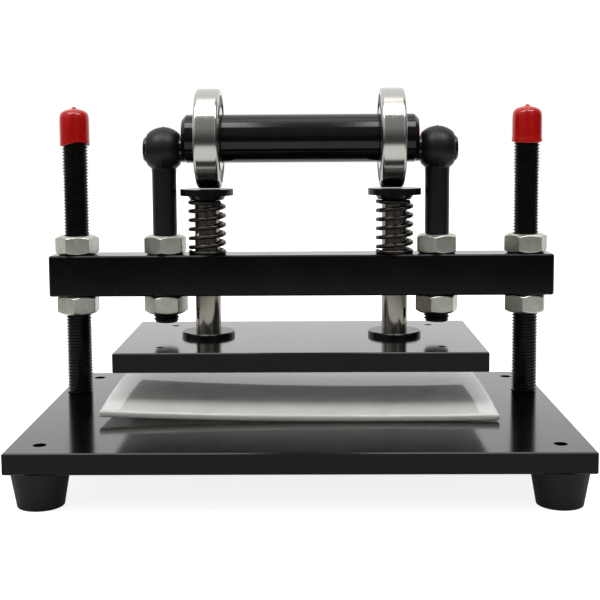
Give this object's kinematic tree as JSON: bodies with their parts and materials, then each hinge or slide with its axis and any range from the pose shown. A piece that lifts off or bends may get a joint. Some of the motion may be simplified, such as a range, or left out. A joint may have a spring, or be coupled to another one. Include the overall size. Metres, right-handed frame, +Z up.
{
  "type": "leather embossing press",
  "caption": "Hand press for leather: an off-centre roller shaft drives a sprung press plate down onto a cutting pad, below a crossbar set by nuts on threaded columns.",
  "frame": {"origin": "on the bench, under the middle of the base plate, at the height of the feet's treads", "axes": "+X across the machine to its right, +Y to its back, +Z up; the user stands at -Y"},
  "size_m": [0.3144, 0.2, 0.2235],
  "materials": {
    "black_coated_plate": "satin black coating on flat steel plate",
    "blackened_steel": "black oxide on turned and forged steel",
    "zinc_steel": "matte zinc plating",
    "chromed_post": "ground and polished",
    "bearing_steel": "ground bearing steel",
    "pressed_steel": "pressed steel sheet",
    "spring_steel": "drawn spring wire",
    "bush_bronze": "turned bronze",
    "foot_rubber": "moulded black rubber",
    "red_vinyl": "dipped glossy red vinyl",
    "pad_plastic": "milky white, slightly glossy"
  },
  "bodies": {
    "frame": {"base_plate": "black_coated_plate", "foot_front_left": "foot_rubber", "foot_back_left": "foot_rubber", "foot_front_right": "foot_rubber", "foot_back_right": "foot_rubber", "foot_washers": "zinc_steel", "foot_screws": "zinc_steel", "column_left": "blackened_steel", "column_right": "blackened_steel", "base_lock_nut_left": "zinc_steel", "base_lock_nut_right": "zinc_steel", "vinyl_cap_left": "red_vinyl", "vinyl_cap_right": "red_vinyl", "cutting_pad": "pad_plastic"},
    "crossbar": {"crossbar": "black_coated_plate", "eye_bolt_left": "blackened_steel", "eye_bolt_right": "blackened_steel", "eye_nut_left_upper": "zinc_steel", "eye_nut_left_lower": "zinc_steel", "eye_nut_right_upper": "zinc_steel", "eye_nut_right_lower": "zinc_steel", "guide_bush_left": "bush_bronze", "guide_bush_right": "bush_bronze", "spring_left": "spring_steel", "spring_right": "spring_steel"},
    "nut_left_upper": {"column_nut_left_upper": "zinc_steel"},
    "nut_left_lower": {"column_nut_left_lower": "zinc_steel"},
    "nut_right_upper": {"column_nut_right_upper": "zinc_steel"},
    "nut_right_lower": {"column_nut_right_lower": "zinc_steel"},
    "shaft": {"roller_shaft": "blackened_steel", "bearing_inner_ring_left": "bearing_steel", "bearing_inner_ring_right": "bearing_steel"},
    "roller_left": {"bearing_outer_ring_left": "bearing_steel", "bearing_shields_left": "pressed_steel"},
    "roller_right": {"bearing_outer_ring_right": "bearing_steel", "bearing_shields_right": "pressed_steel"},
    "cage_left": {"bearing_cage_left": "pressed_steel", "bearing_balls_left": "bearing_steel"},
    "cage_right": {"bearing_cage_right": "pressed_steel", "bearing_balls_right": "bearing_steel"},
    "press": {"press_plate": "black_coated_plate", "press_screws": "blackened_steel", "guide_post_left": "chromed_post", "guide_post_right": "chromed_post", "post_cap_left": "blackened_steel", "post_cap_right": "blackened_steel", "post_flange_left": "blackened_steel", "post_flange_right": "blackened_steel"}
  },
  "joints": [
    {"name": "bar_height", "type": "slide", "parent": "frame", "child": "crossbar", "axis": [0, 0, 1], "range_m": [-0.003, 0.05]},
    {"name": "nut_left_upper_turn", "type": "hinge", "parent": "crossbar", "child": "nut_left_upper", "pos_m": [-0.1415, 0.043, 0.1203], "axis": [0, 0, 1], "range_deg": [-540, 9000]},
    {"name": "nut_left_lower_turn", "type": "hinge", "parent": "crossbar", "child": "nut_left_lower", "pos_m": [-0.1415, 0.043, 0.0947], "axis": [0, 0, 1], "range_deg": [-540, 9000]},
    {"name": "nut_right_upper_turn", "type": "hinge", "parent": "crossbar", "child": "nut_right_upper", "pos_m": [0.1415, 0.043, 0.1203], "axis": [0, 0, 1], "range_deg": [-540, 9000]},
    {"name": "nut_right_lower_turn", "type": "hinge", "parent": "crossbar", "child": "nut_right_lower", "pos_m": [0.1415, 0.043, 0.0947], "axis": [0, 0, 1], "range_deg": [-540, 9000]},
    {"name": "shaft_turn", "type": "hinge", "parent": "crossbar", "child": "shaft", "pos_m": [0, 0.043, 0.186], "axis": [1, 0, 0], "range_deg": [0, 130]},
    {"name": "press_slide", "type": "slide", "parent": "crossbar", "child": "press", "axis": [0, 0, 1], "range_m": [-0.0108, 0], "stiffness_N_per_m": 13000, "springref_m": 0.0067, "deforming": ["spring_left", "spring_right"]},
    {"name": "roller_left_spin", "type": "hinge", "parent": "shaft", "child": "roller_left", "pos_m": [-0.057, 0.043, 0.1925], "axis": [1, 0, 0], "continuous": true},
    {"name": "roller_right_spin", "type": "hinge", "parent": "shaft", "child": "roller_right", "pos_m": [0.057, 0.043, 0.1925], "axis": [1, 0, 0], "continuous": true},
    {"name": "cage_left_spin", "type": "hinge", "parent": "shaft", "child": "cage_left", "pos_m": [-0.057, 0.043, 0.1925], "axis": [1, 0, 0], "continuous": true},
    {"name": "cage_right_spin", "type": "hinge", "parent": "shaft", "child": "cage_right", "pos_m": [0.057, 0.043, 0.1925], "axis": [1, 0, 0], "continuous": true}
  ],
  "couplings": [
    {"joint": "nut_left_upper_turn", "follows": "bar_height", "rad_per_m": 3141.6},
    {"joint": "nut_left_lower_turn", "follows": "bar_height", "rad_per_m": 3141.6},
    {"joint": "nut_right_upper_turn", "follows": "bar_height", "rad_per_m": 3141.6},
    {"joint": "nut_right_lower_turn", "follows": "bar_height", "rad_per_m": 3141.6},
    {"joint": "press_slide", "follows": "shaft_turn", "m_per_rad": -0.00471},
    {"joint": "cage_left_spin", "follows": "roller_left_spin", "ratio": 0.60348},
    {"joint": "cage_right_spin", "follows": "roller_right_spin", "ratio": 0.60348}
  ]
}
